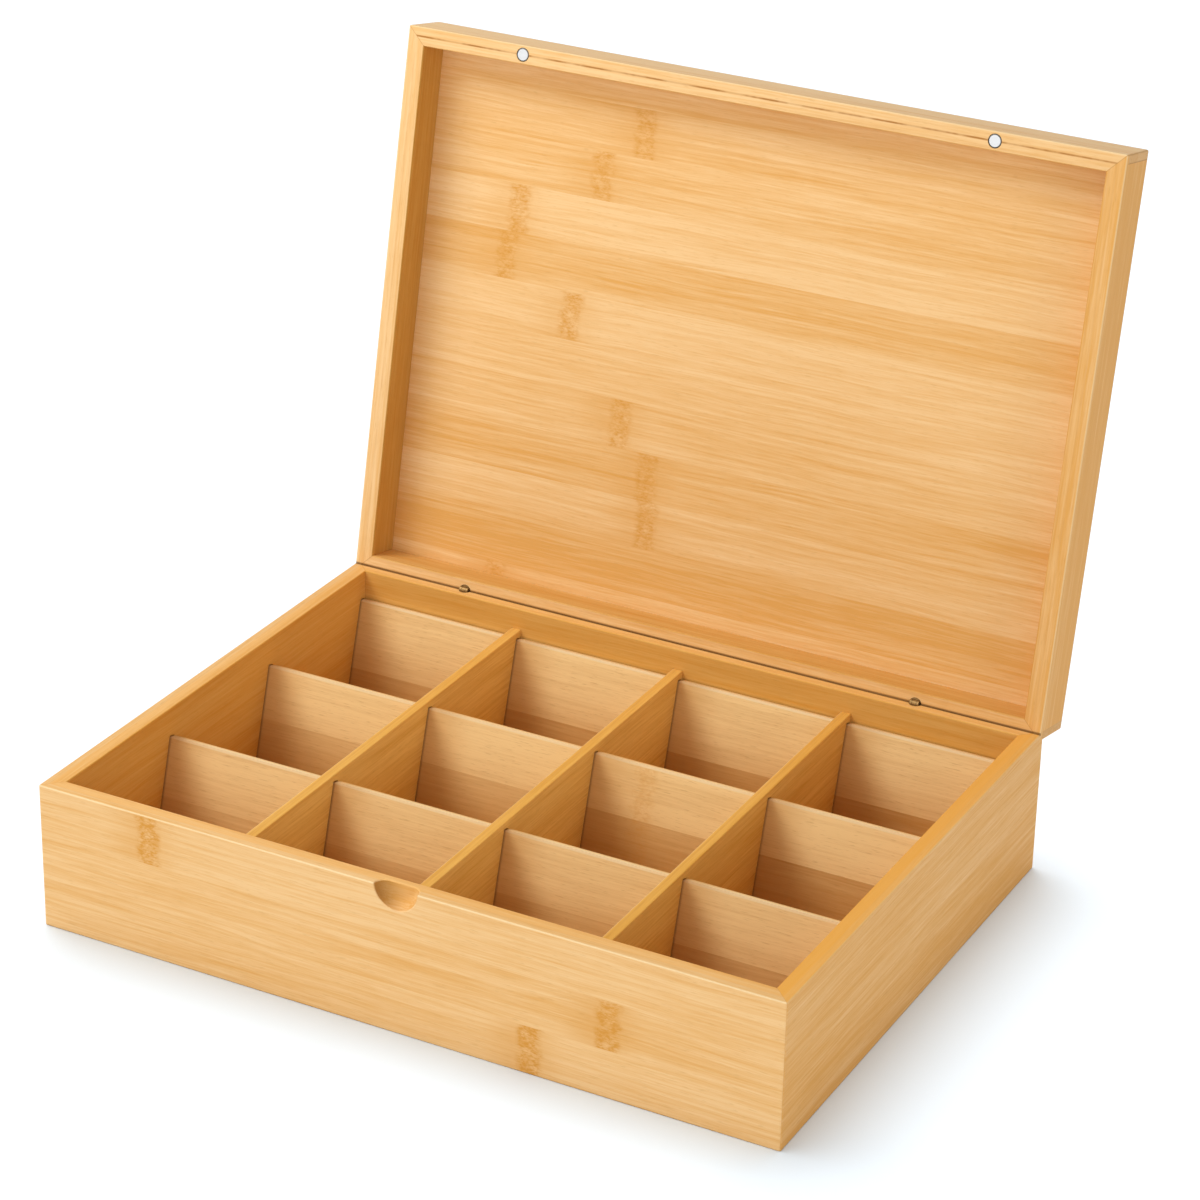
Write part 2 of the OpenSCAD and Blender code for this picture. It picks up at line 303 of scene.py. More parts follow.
def round_corner(bm, side_x, side_y, radius, facets=6):
    """Rounds one outer upright corner by cutting flats that touch an arc"""
    centre = Vector((side_x * (HALF_W - radius), side_y * (HALF_D - radius), 0))
    for k in range(facets):
        turn = math.radians(90) * (k + 0.5) / facets
        out = Vector((side_x * math.cos(turn), side_y * math.sin(turn), 0))
        cut = cut_through(bm, centre + radius * out, out, clear_outer=True)
        hole = [edge for edge in cut if edge.is_boundary]
        if hole:
            bmesh.ops.holes_fill(bm, edges=hole, sides=0)
    bmesh.ops.recalc_face_normals(bm, faces=bm.faces)


def faces_x(face):
    return abs(face.normal.x) > ALONG


def faces_y(face):
    return abs(face.normal.y) > ALONG


def level(face):
    return abs(face.normal.z) > ALONG


def upright(face):
    return abs(face.normal.z) < ACROSS


def mitre(face):
    return upright(face) and abs(abs(face.normal.x) - abs(face.normal.y)) < ACROSS


def level_at(*heights):
    """A test for level faces at one of the heights"""
    def test(face):
        middle = face.calc_center_median()
        return level(face) and min(abs(middle.z - height) for height in heights) < SAME_PLANE
    return test


def on_outside(face):
    """True for an upright face on the outside of the box, its rounded corners included"""
    middle = face.calc_center_median()
    far_x = abs(middle.x) > HALF_W - SKIN and face.normal.x * middle.x > 0
    far_y = abs(middle.y) > HALF_D - SKIN and face.normal.y * middle.y > 0
    return upright(face) and not mitre(face) and (far_x or far_y)


def on_inside(face):
    """True for an upright face on the inside of the walls"""
    middle = face.calc_center_median()
    near_x = abs(abs(middle.x) - HALF_W + WALL) < SAME_PLANE and faces_x(face)
    near_y = abs(abs(middle.y) - HALF_D + WALL) < SAME_PLANE and faces_y(face)
    return near_x or near_y


def on_front(face):
    """True for the flat outer face of the front wall"""
    return faces_y(face) and abs(face.calc_center_median().y + HALF_D) < SKIN


def in_notch(place, rim=0.0):
    """True in the block that holds the finger notch, more than rim behind and below the wall's edge"""
    deep, down = place.y + HALF_D, BASE_HIGH.z - place.z
    return abs(place.x) < NOTCH_HALF and rim < deep < NOTCH_DEEP and rim < down < NOTCH_DOWN


def at_pins(place):
    """True by the axis of the hinge pins, where each rear rim meets its bevel"""
    return abs(place.y - PIVOT.y) < PIN_REACH and abs(place.z - PIVOT.z) < PIN_REACH


def bevel(bm, edges, radius, segments=3):
    bmesh.ops.bevel(bm, geom=edges, offset=radius, offset_type="OFFSET", segments=segments,
                    profile=0.5, affect="EDGES", clamp_overlap=False)


def edges_between(bm, first, second):
    """Edges with a face that meets one test on one side, and a face that meets the other"""
    found = []
    for edge in bm.edges:
        if len(edge.link_faces) == 2:
            a, b = edge.link_faces
            if (first(a) and second(b)) or (first(b) and second(a)):
                found.append(edge)
    return found


def finish_piece(bm, node, body, square, suffix="wood"):
    """Makes the mesh an object that rides on its body and stands for the CAD node"""
    bmesh.ops.remove_doubles(bm, verts=bm.verts, dist=SAME_POINT)
    bmesh.ops.transform(bm, matrix=square.inverted(), verts=bm.verts)
    for edge in bm.edges:
        edge.smooth = len(edge.link_faces) == 2 and edge.calc_face_angle(0) < SHARP_ANGLE
    for face in bm.faces:
        face.smooth = True
    mesh = bpy.data.meshes.new(f"{node}_{suffix}")
    bm.to_mesh(mesh)
    bm.free()
    piece = bpy.data.objects.new(mesh.name, mesh)
    bpy.context.scene.collection.objects.link(piece)
    even = piece.modifiers.new("even_shading", "WEIGHTED_NORMAL")
    even.keep_sharp = True
    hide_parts(node)
    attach(piece, body)
    return piece


# ---- materials ----

class Graph:
    """Short ways to write the nodes of a material or of the sky"""

    COLOUR_A, COLOUR_B, COLOUR_OUT = 6, 7, 2  # the mix node's sockets for colours

    def __init__(self, owner):
        owner.use_nodes = True
        self.tree = owner.node_tree

    def node(self, kind, **settings):
        made = self.tree.nodes.new(kind)
        for key, value in settings.items():
            setattr(made, key, value)
        return made

    def feed(self, socket, value):
        if isinstance(value, bpy.types.NodeSocket):
            self.tree.links.new(value, socket)
        else:
            socket.default_value = value

    def math(self, operation, *values, clamp=False):
        made = self.node("ShaderNodeMath", operation=operation, use_clamp=clamp)
        for socket, value in zip(made.inputs, values):
            self.feed(socket, value)
        return made.outputs[0]

    def add(self, *values):
        total = values[0]
        for value in values[1:]:
            total = self.math("ADD", total, value)
        return total

    def times(self, a, b):
        return self.math("MULTIPLY", a, b)

    def vector(self, x, y, z):
        made = self.node("ShaderNodeCombineXYZ")
        for socket, value in zip(made.inputs, (x, y, z)):
            self.feed(socket, value)
        return made.outputs[0]

    def noise(self, vector, detail=2.0, roughness=0.5, distortion=0.0):
        made = self.node("ShaderNodeTexNoise", noise_dimensions="3D")
        self.feed(made.inputs["Vector"], vector)
        self.feed(made.inputs["Scale"], 1.0)
        self.feed(made.inputs["Detail"], detail)
        self.feed(made.inputs["Roughness"], roughness)
        self.feed(made.inputs["Distortion"], distortion)
        return made.outputs["Fac"]

    def swing(self, value, amount):
        """amount times (value - 0.5), for a noise that strays both ways"""
        return self.math("MULTIPLY_ADD", value, amount, -0.5 * amount)

    def step(self, value, low, high, to_low=0.0, to_high=1.0):
        """Smooth step of value from low to high"""
        made = self.node("ShaderNodeMapRange", interpolation_type="SMOOTHSTEP")
        for name, number in (("Value", value), ("From Min", low), ("From Max", high),
                             ("To Min", to_low), ("To Max", to_high)):
            self.feed(made.inputs[name], number)
        return made.outputs["Result"]

    def near(self, value, place, half_width, blur):
        """1 within half_width of place, 0 further off than half_width plus blur"""
        away = self.math("ABSOLUTE", self.math("SUBTRACT", value, place))
        return self.step(away, half_width, half_width + blur, 1.0, 0.0)

    def ramp(self, factor, *stops):
        """Colour between two stops, each of them a place and a colour"""
        made = self.node("ShaderNodeValToRGB")
        for element, (place, colour) in zip(made.color_ramp.elements, stops):
            element.position = place
            element.color = (*colour, 1.0)
        self.feed(made.inputs["Fac"], factor)
        return made.outputs["Color"]

    def mix(self, factor, a, b, blend="MIX"):
        made = self.node("ShaderNodeMix", data_type="RGBA", blend_type=blend)
        self.feed(made.inputs["Factor"], factor)
        for socket, value in ((self.COLOUR_A, a), (self.COLOUR_B, b)):
            colour = value if isinstance(value, bpy.types.NodeSocket) else (*value, 1.0)
            self.feed(made.inputs[socket], colour)
        return made.outputs[self.COLOUR_OUT]


class MaterialGraph(Graph):
    """The nodes of a new material, and its shader"""

    def __init__(self, name):
        self.material = bpy.data.materials.new(name)
        super().__init__(self.material)
        self.shader = self.tree.nodes["Principled BSDF"]


class Board:
    """How one piece is cut: which way its grain runs, and what its strips look like"""

    def __init__(self, axes, edges, strips, seed, square=STAND, wood="wall", inner=None, outer=None,
                 painted_inner_shade=(0.84, 0.74, 0.44), rings=1.0, mitre=0.0, seam=False, arris=None, touches=(),
                 contrast=1.0):
        self.axes = axes                      # along the grain, across the strips, into the board
        self.edges = edges                    # millimetres along the second axis, where strips meet
        self.strips = strips                  # (tone, place of the growth ring or None), lowest first
        self.seed = seed                      # gives each board a grain of its own
        self.square = square                  # turns the piece square to the axes
        self.wood = wood                      # which colours it has: wall, divider or panel
        self.inner = inner                    # millimetres along the third axis, the inner face with painted shade
        self.outer = outer                    # millimetres along the third axis, the only face with rings
        self.painted_inner_shade = painted_inner_shade                  # what the inner face's colour is multiplied by, for painted shade
        self.rings = rings                    # how far the growth rings show
        self.mitre = mitre                    # how far the mitres show
        self.seam = seam                      # whether painted shade shows in the gap at the hinge pins
        self.arris = arris                    # (height, how far) of the painted highlight along the outer edge
        self.touches = touches                # (axis, place, half width, blur, how far, colour)
        self.contrast = contrast              # how strongly the fibres show


def even_edges(start, strip, count):
    """The places where count strips of one height meet"""
    return [start + k * strip for k in range(1, count)]


def plain_strips(seed, count, rings=()):
    """Strips of chance tones, with growth rings where asked: {strip: place}"""
    chance = random.Random(seed)
    places = dict(rings)
    return [(chance.uniform(-TONE_SPREAD, TONE_SPREAD), places.get(k)) for k in range(count)]


def board_axes(g, board):
    """Millimetres along the grain, across the strips and into the board, and how far a face is end grain"""
    coordinates = g.node("ShaderNodeTexCoord")
    move, rotation, _ = board.square.decompose()
    turn = g.node("ShaderNodeMapping", vector_type="POINT")
    g.feed(turn.inputs["Vector"], coordinates.outputs["Object"])
    turn.inputs["Location"].default_value = move / MM
    turn.inputs["Rotation"].default_value = rotation.to_euler()
    turn.inputs["Scale"].default_value = (1 / MM, 1 / MM, 1 / MM)
    parts = g.node("ShaderNodeSeparateXYZ")
    g.feed(parts.inputs[0], turn.outputs[0])
    grain = Vector([float(a == board.axes[0]) for a in "XYZ"])
    grain.rotate(rotation.inverted())
    facing = g.node("ShaderNodeVectorMath", operation="DOT_PRODUCT")
    g.feed(facing.inputs[0], coordinates.outputs["Normal"])
    facing.inputs[1].default_value = grain
    end = g.step(g.math("ABSOLUTE", facing.outputs["Value"]), 0.55, 0.95)
    along, across, into = (parts.outputs["XYZ".index(a)] for a in board.axes)
    return parts, along, across, into, end


def strip_values(g, across, board):
    """The number of the strip that a point lies in, its tone, and the place of its growth ring"""
    strips = [(tone, FAR if ring is None else ring) for tone, ring in board.strips]
    number, (tone, ring) = 0.0, strips[0]
    for edge, (tone_below, ring_below), (tone_above, ring_above) in zip(board.edges, strips, strips[1:]):
        above = g.math("GREATER_THAN", across, edge)
        number = g.math("ADD", above, number)
        tone = g.math("MULTIPLY_ADD", above, tone_above - tone_below, tone)
        ring = g.math("MULTIPLY_ADD", above, ring_above - ring_below, ring)
    return number, tone, ring


def growth_ring(g, board, along, across, into, ring, shift):
    """A band across the strip, of short dashes along the grain, with a soft stain round it"""
    dash, patch, wave = 2.0, 5.0, 4.0         # lengths in millimetres
    wander = 6.0                              # how far the band strays along the grain, in millimetres
    wobble = g.noise(g.vector(shift, g.math("DIVIDE", across, wave), 0.0), detail=2.0)
    off = g.math("ADD", g.math("SUBTRACT", along, ring), g.swing(wobble, wander))
    dashes = g.noise(g.vector(g.math("DIVIDE", along, dash), g.math("MULTIPLY_ADD", across, 1.1, shift),
                              3.7), detail=3.0, roughness=0.7, distortion=0.3)
    patches = g.noise(g.vector(g.math("DIVIDE", along, patch), g.math("MULTIPLY_ADD", across, 0.25, shift),
                               9.1), detail=1.0)
    band = g.near(off, 0.0, 3.0, 4.0)
    stain = g.near(off, -3.0, 2.0, 20.0)
    marks = g.times(band, g.step(dashes, 0.40, 0.68))
    light = g.times(band, g.step(dashes, 0.45, 0.28))
    shown = g.add(g.times(marks, 0.62), g.times(g.times(band, g.step(patches, 0.35, 0.65)), 0.38),
                  g.times(stain, 0.34), g.times(light, -0.16))
    if board.outer is not None:
        shown = g.times(shown, g.near(into, board.outer, 0.15, 0.35))
    return g.math("MULTIPLY", shown, board.rings, clamp=True)


def touch_up(g, colour, board, parts, end):
    """Glue lines and the other touches, painted highlights along edges, mitres, end grain and painted shade
    in the gap at the hinge pins, on top of the wood
    """
    breaks = 0.07                             # breaks in a glue line, for each millimetre
    cells = 2.0                               # cells in the end grain, for each millimetre
    edge_half, edge_blur = 0.1, 0.75          # millimetres of the painted highlight along an outer edge
    along = g.times(parts.outputs[board.axes[0]], breaks)
    broken = g.step(g.noise(g.vector(along, board.seed, 0.0), detail=3.0), 0.38, 0.60, 0.35, 1.0)
    for axis, place, half_width, blur, amount, touch in board.touches:
        spot = g.near(parts.outputs[axis], place, half_width, blur)
        if touch in (GLUE, DARK_GLUE):
            spot = g.times(spot, broken)
        colour = g.mix(g.times(spot, amount), colour, touch)
    # a painted highlight along the outer edge of the rim
    if board.arris:
        height, amount = board.arris
        painted_edge_highlight = g.times(g.near(parts.outputs["Z"], height, edge_half, edge_blur),
                       g.near(parts.outputs[board.axes[2]], board.outer, edge_half, edge_blur))
        colour = g.mix(g.times(painted_edge_highlight, amount), colour, PAINTED_HIGHLIGHT)
    if board.mitre:
        side = g.math("SUBTRACT", HALF_W / MM, g.math("ABSOLUTE", parts.outputs["X"]))
        back = g.math("SUBTRACT", HALF_D / MM, g.math("ABSOLUTE", parts.outputs["Y"]))
        joint = g.near(g.math("SUBTRACT", side, back), 0.0, 0.05, 0.35)
        colour = g.mix(g.times(joint, board.mitre), colour, DARK_GLUE)
    speckle = g.noise(g.vector(*(g.times(parts.outputs[a], cells) for a in "XYZ")), detail=2.0)
    colour = g.mix(g.times(end, g.math("MULTIPLY_ADD", speckle, 0.55, 0.15)), colour, END_GRAIN)
    # painted shade in the gap along the axis of the hinge pins
    if board.seam:
        flat = g.vector(0.0, g.math("SUBTRACT", parts.outputs["Y"], PIVOT.y / MM),
                        g.math("SUBTRACT", parts.outputs["Z"], PIVOT.z / MM))
        away = g.node("ShaderNodeVectorMath", operation="LENGTH")
        g.feed(away.inputs[0], flat)
        colour = g.mix(g.step(away.outputs["Value"], 0.35, 0.90, 0.72, 0.0), colour, PAINTED_GAP_SHADE)
    return colour


def bamboo(name, board):
    """Glued bamboo: strips of different tones, long fibres, growth rings and glue lines"""
    wood = bpy.context.scene.tea_box.wood
    light = tuple(getattr(wood, board.wood + "_light"))
    dark = tuple(getattr(wood, board.wood + "_dark"))
    g = MaterialGraph(name)
    parts, along, across, into, end = board_axes(g, board)
    number, tone, ring = strip_values(g, across, board)
    step_on = 37.3                            # how far the noise moves on from strip to strip
    bend, bend_length, bend_width = 3.5, 80, 16.0       # millimetres that the fibres bend, and over what
    shift = g.math("MULTIPLY_ADD", number, step_on, board.seed)
    warp = g.noise(g.vector(g.math("MULTIPLY_ADD", along, 1 / bend_length, shift),
                            g.math("DIVIDE", across, bend_width),
                            g.math("DIVIDE", into, bend_width)), detail=1.0)
    bent = g.math("ADD", across, g.swing(warp, bend))

    def streaks(length, width, **kind):
        """Noise drawn out along the grain: length and width in millimetres"""
        return g.noise(g.vector(g.math("MULTIPLY_ADD", along, 1 / length, shift),
                                g.math("MULTIPLY_ADD", bent, 1 / width, shift),
                                g.math("DIVIDE", into, width)), **kind)

    figure = streaks(190, 9.0, detail=2.0)
    bands = streaks(110, 2.2, detail=2.0, roughness=0.6)
    fibre = streaks(26, 0.75, detail=2.0, roughness=0.7)
    pores = streaks(5, 0.45, detail=1.0)

    k = board.contrast
    middle, tone_step = 0.56, 0.38            # the shade of a strip of tone 0, and what a tone of 1 adds
    shade = g.add(middle, g.times(tone, tone_step), g.swing(figure, 0.9 * k), g.swing(bands, 1.15 * k),
                  g.swing(fibre, 1.3 * k))
    colour = g.ramp(shade, (0.0, dark), (1.0, light))
    pore_colour = tuple(0.78 * c for c in dark)
    colour = g.mix(g.step(pores, 0.58, 0.80, 0.0, 0.30), colour, pore_colour)
    # painted shade on the inner face of a wall or a rail
    if board.inner is not None:
        painted_inner_shade = g.mix(1.0, colour, board.painted_inner_shade, blend="MULTIPLY")
        colour = g.mix(g.near(into, board.inner, 0.3, 0.3), colour, painted_inner_shade)
    colour = g.mix(growth_ring(g, board, along, across, into, ring, shift), colour, tuple(wood.ring))
    colour = touch_up(g, colour, board, parts, end)

    g.feed(g.shader.inputs["Base Color"], colour)
    g.feed(g.shader.inputs["Roughness"], g.math("MULTIPLY_ADD", fibre, -0.18, 0.50))
    g.shader.inputs["Specular IOR Level"].default_value = 0.03
    bump = g.node("ShaderNodeBump")
    bump.inputs["Strength"].default_value = 0.3
    bump.inputs["Distance"].default_value = 0.03 * MM
    g.feed(bump.inputs["Height"], g.add(g.times(fibre, 0.7), g.times(bands, 0.5)))
    g.feed(g.shader.inputs["Normal"], bump.outputs[0])
    return g.material


def metal(name, colour, roughness, fleck, grain, metallic=1.0):
    """Metal with soft flecks of wear: fleck is how much darker they are, grain their size in millimetres"""
    g = MaterialGraph(name)
    place = g.node("ShaderNodeTexCoord").outputs["Object"]
    scaled = g.node("ShaderNodeVectorMath", operation="SCALE")
    g.feed(scaled.inputs[0], place)
    g.feed(scaled.inputs["Scale"], 1 / (grain * MM))
    wear = g.noise(scaled.outputs[0], detail=4.0, roughness=0.65)
    tone = g.ramp(wear, (0.3, tuple(c * (1 - fleck) for c in colour)), (0.7, tuple(colour)))
    g.feed(g.shader.inputs["Base Color"], tone)
    g.shader.inputs["Metallic"].default_value = metallic
    g.feed(g.shader.inputs["Roughness"], g.math("MULTIPLY_ADD", wear, 0.3, roughness - 0.15))
    return g.material


def paint(piece, material):
    """Puts one material on all of a piece"""
    piece.data.materials.clear()
    piece.data.materials.append(material)
    for face in piece.data.polygons:
        face.material_index = 0


def paint_node(node, material):
    """Gives a CAD node that stays its better material"""
    for slot in frame["nodes"][node].material_slots:
        slot.material = material


# ---- one operator for each kind of piece ----

def eased_wall(node, body, square, board):
    """A base wall or a lid rail: rounded corners and eased rims"""
    settings = bpy.context.scene.tea_box.edges
    bm = clean_mesh(node, square)
    for side_x in (-1, 1):
        for side_y in (-1, 1):
            round_corner(bm, side_x, side_y, settings.corner)
    heights = [v.co.z for v in bm.verts]
    top, bottom = max(heights), min(heights)
    at_rim = level_at(top, bottom)

    def bowl(face):
        """True for a face of the finger notch"""
        inside = in_notch(face.calc_center_median()) and not level(face) and not on_front(face)
        return node == "front_wall" and inside

    def under_bottom(edge):
        """True for an inner edge that lies against the bottom board"""
        return (body == "base" and any(on_inside(face) for face in edge.link_faces)
                and abs(edge.verts[0].co.z - bottom) < SAME_PLANE)

    rims = edges_between(bm, at_rim, lambda face: on_outside(face) or on_inside(face))
    rims = [edge for edge in rims if not under_bottom(edge)]
    notch = edges_between(bm, bowl, lambda face: at_rim(face) or on_front(face))
    rims += [edge for edge in notch if edge not in rims]
    seam = [edge for edge in bm.edges if edge not in rims and all(at_pins(v.co) for v in edge.verts)
            and abs(edge.verts[0].co.x - edge.verts[1].co.x) > SEAM_LENGTH]
    bevel(bm, rims, settings.rim)
    seam = [edge for edge in seam if edge.is_valid]
    if seam:
        bevel(bm, seam, settings.seam, segments=2)
    piece = finish_piece(bm, node, body, square)
    paint(piece, bamboo(f"{node}_bamboo", board))
    return piece


def paint_notch(wall, board):
    """Gives the finger notch painted shade, darker all over and deepest at its left end as a painted shadow

    The wall has its own material by now, so its board is changed in place.
    """
    # painted shade: the notch's strips are darker than the wall's
    painted_shade_tone = -1.0
    board.strips = [(painted_shade_tone, ring) for _, ring in board.strips]
    board.arris = None
    board.touches = [("X", -11.0, 0.0, 15.0, 0.75, PAINTED_NOTCH_SHADOW)]      # painted shadow, deepest at the notch's left end
    wall.data.materials.append(bamboo("notch_bamboo", board))
    for face in wall.data.polygons:
        if in_notch(face.center, NOTCH_RIM):
            face.material_index = 1


class TEABOX_OT_walls(bpy.types.Operator):
    """Eases the four base walls and gives them their grain"""
    bl_idname = "teabox.walls"
    bl_label = "Base Walls"

    def execute(self, context):
        strip = context.scene.tea_box.wood.strip / MM
        edges = even_edges(RIM - 3 * strip, strip, 3)
        glue_line, inner_ply, ply_half = 6.9, 5.9, 2.4      # millimetres, in from the outer face
        # axes, strips, outer face, way in, and how far the inner ply, the rim and the painted highlight
        # along the outer edge show
        cuts = {
            "front_wall": ("XZY", [(0.3, 61.5), (0.2, 96.5), (0.45, -118.5)], -HALF_D, 1, 0.3, 0.1, 0.8),
            "back_wall": ("XZY", [(-0.3, None), (0.1, -60.0), (0.0, None)], HALF_D, -1, 0.3, 0.1, 0.35),
            "left_wall": ("YZX", [(0.1, None), (-0.1, 70.0), (0.1, None)], -HALF_W, 1, 0.3, 0.1, 0.35),
            # the right wall's low tones are painted shade on the side away from the key lamp
            "right_wall": ("YZX", [(-1.0, None), (-0.6, None), (-0.5, None)], HALF_W, -1, 0.5, 0.6, 0.35),
        }
        for seed, (node, (axes, strips, face, inward, ply, rim, painted_edge_highlight)) in enumerate(cuts.items()):
            outer, into = face / MM, axes[2]
            touches = [(into, outer + inward * glue_line, 0.3, 0.9, 0.3, GLUE),
                       (into, outer + inward * inner_ply, ply_half, 0.4, ply, ORANGE),
                       ("Z", RIM, 0.3, 0.3, rim, ORANGE)]
            board = Board(axes, edges=edges, strips=strips, seed=11.0 + 5 * seed, mitre=0.2, outer=outer,
                          # painted shade on the inner face, and a painted highlight along the outer edge of
                          # the rim
                          inner=outer + inward * WALL / MM, seam=node != "front_wall", arris=(RIM, painted_edge_highlight),
                          touches=touches)
            wall = eased_wall(node, "base", STAND, board)
            if node == "front_wall":
                paint_notch(wall, board)
        return {"FINISHED"}


class TEABOX_OT_bottom(bpy.types.Operator):
    """Gives the bottom board its grain"""
    bl_idname = "teabox.bottom"
    bl_label = "Bottom Board"

    def execute(self, context):
        strip = context.scene.tea_box.wood.strip / MM
        low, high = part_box("bottom_board")
        count = math.ceil((high.y - low.y) / MM / strip)
        board = Board("XYZ", edges=even_edges(low.y / MM, strip, count), seed=71.0, wood="divider",
                      strips=plain_strips(3, count, rings={4: 40.0, 7: -90.0}))
        paint_node("bottom_board", bamboo("bottom_board_bamboo", board))
        return {"FINISHED"}


class TEABOX_OT_dividers(bpy.types.Operator):
    """Eases the tops of the three long dividers and gives them their grain and a painted highlight"""
    bl_idname = "teabox.dividers"
    bl_label = "Dividers"

    def execute(self, context):
        settings = context.scene.tea_box
        strip = settings.wood.strip / MM
        lower = 3.0                           # millimetres that the strips lie lower than the walls' do
        off_middle = 0.7                      # millimetres from the middle to the glue line on top
        for seed, node in enumerate(DIVIDERS):
            low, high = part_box(node)
            bm = clean_mesh(node, STAND)
            bevel(bm, edges_between(bm, level_at(high.z), faces_x), settings.edges.divider)
            piece = finish_piece(bm, node, "base", STAND)
            top, middle = high.z / MM, (low.x + high.x) / 2 / MM
            touches = [("Z", top, 0.3, 0.3, 0.35, ORANGE),
                       ("X", middle - off_middle, 0.1, 0.6, 0.35, GLUE),
                       # painted highlight along the divider's left edge
                       ("X", low.x / MM, 0.3, 0.5, 0.3, PAINTED_HIGHLIGHT)]
            board = Board("YZX", edges=even_edges(top - 3 * strip - lower, strip, 3), seed=101.0 + 7 * seed,
                          strips=plain_strips(20 + seed, 3), wood="divider", touches=touches)
            paint(piece, bamboo(f"{node}_bamboo", board))
        return {"FINISHED"}


class TEABOX_OT_panels(bpy.types.Operator):
    """Eases the twelve slanted panels and gives them their grain, painted shade and painted highlights"""
    bl_idname = "teabox.panels"
    bl_label = "Slanted Panels"

    def execute(self, context):
        settings = context.scene.tea_box
        shadow = tuple(settings.wood.panel_dark)
        below, fade = 54.0, 42.0              # millimetres below the top where the painted shade toward the bottom is darkest, and its blur
        end_fade = 26.0                       # millimetres: the blur of the painted shadow at the left end
        upper = {"front": 23.0, "middle": 21.0, "rear": 28.0}      # millimetres: the upper strip's height
        tones = {                             # of the lower and the upper strip, column by column: partly the strips' own tones, partly painted light, lighter above and darker below
            "front": [(0.3, 1.0), (0.2, 0.9), (0.0, 0.8), (-0.1, 1.0)],
            "middle": [(0.2, 1.1), (0.2, 1.1), (-0.3, 1.0), (-0.5, 1.1)],
            "rear": [(-0.2, 0.8), (-0.3, 1.0), (-0.6, 1.0), (-0.7, 1.0)],
        }
        rings = {"middle_panel_3": 28.0}
        for r, row in enumerate(ROWS):
            for column in range(1, COLUMNS + 1):
                node = f"{row}_panel_{column}"
                square = upright_panel(node)
                bm = clean_mesh(node, square)
                bm.normal_update()
                top = max(v.co.z for v in bm.verts) / MM
                bevel(bm, edges_between(bm, faces_y, upper_side), settings.edges.panel, segments=2)
                piece = finish_piece(bm, node, "base", square)
                left, right = bay(column)
                # the first touch is painted shade toward the bottom of the panel
                touches = [("Z", top - below, 0.0, fade, 0.85, shadow),
                           # painted highlight along the top edge
                           ("Z", top, 0.7, 0.4, 0.9, PAINTED_HIGHLIGHT),
                           # painted shade in the gaps at both ends of the panel
                           ("X", left, 0.1, 0.9, 0.45, PAINTED_GAP_SHADE),
                           ("X", right, 0.1, 0.9, 0.45, PAINTED_GAP_SHADE),
                           # painted shadow of the divider at the panel's left end
                           ("X", left, 0.0, end_fade, 0.5, shadow)]
                strips = [(tone, rings.get(node)) for tone in tones[row][column - 1]]
                board = Board("XZY", square=square, edges=[top - upper[row]], wood="panel", rings=0.4,
                              touches=touches, contrast=0.42, strips=strips,
                              seed=200.0 + 3 * (COLUMNS * r + column))
                paint(piece, bamboo(f"{node}_bamboo", board))
        return {"FINISHED"}


def bay(column):
    """Where the open space of a column starts and ends, in millimetres"""
    walls = [-HALF_W + WALL]
    for divider in DIVIDERS:
        walls += [corner.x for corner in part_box(divider)]
    walls.append(HALF_W - WALL)
    return walls[2 * column - 2] / MM, walls[2 * column - 1] / MM


def upright_panel(node):
    """Turns a leaning panel upright, about the X axis"""
    faces = frame["nodes"][node].data.polygons
    broad = max(faces, key=lambda face: face.area * (face.normal.y < -0.5)).normal
    lean = math.atan2(-broad.z, -broad.y)
    return Matrix.Rotation(lean, 4, "X")


def upper_side(face):
    """True for the top and the ends of an upright panel"""
    return abs(face.normal.y) < ACROSS and face.normal.z > -ACROSS


class TEABOX_OT_lid_frame(bpy.types.Operator):
    """Eases the four lid rails and gives them their grain"""
    bl_idname = "teabox.lid_frame"
    bl_label = "Lid Frame"

    def execute(self, context):
        outer_glue, inner_glue = 4.25, 7.3    # millimetres, in from the outer face
        shaded, lit = (0.68, 0.57, 0.30), (0.88, 0.80, 0.58)       # painted shade for the inner faces: deeper on the left rail, which faces away from the key lamp, lighter on the others
        # axes, strips, outer face, way in, painted shade of the inner face, and the outer glue line: how
        # far, colour
        cuts = {
            # the front rail's high tones are painted light
            "lid_front_rail": ("XZY", [(0.6, None), (1.5, None)], -HALF_D, 1, lit, (0.9, DARK_GLUE)),
            "lid_back_rail": ("XZY", [(-0.1, None), (0.1, None)], HALF_D, -1, lit, (0.3, GLUE)),
            "lid_left_rail": ("YZX", [(0.2, None), (0.2, None)], -HALF_W, 1, shaded, (0.3, GLUE)),
            # the right rail's low tones are painted shade on the side away from the key lamp
            "lid_right_rail": ("YZX", [(-1.2, None), (-1.6, None)], HALF_W, -1, lit, (0.3, GLUE)),
        }
        for seed, (node, (axes, strips, face, inward, painted_inner_shade, line)) in enumerate(cuts.items()):
            outer, into = face / MM, axes[2]
            touches = [(into, outer + inward * outer_glue, 0.15, 0.45, *line),
                       (into, outer + inward * inner_glue, 0.1, 0.8, 0.25, GLUE)]
            board = Board(axes, square=CLOSED, edges=[RIM + LID_JOIN], strips=strips, seed=301.0 + 9 * seed,
                          outer=outer, inner=outer + inward * WALL / MM, painted_inner_shade=painted_inner_shade, mitre=0.4,
                          # a painted highlight along the outer edge of the rim
                          seam=node != "lid_front_rail", arris=(RIM + LID_GAP, 0.6), touches=touches)
            eased_wall(node, "lid", CLOSED, board)
        return {"FINISHED"}


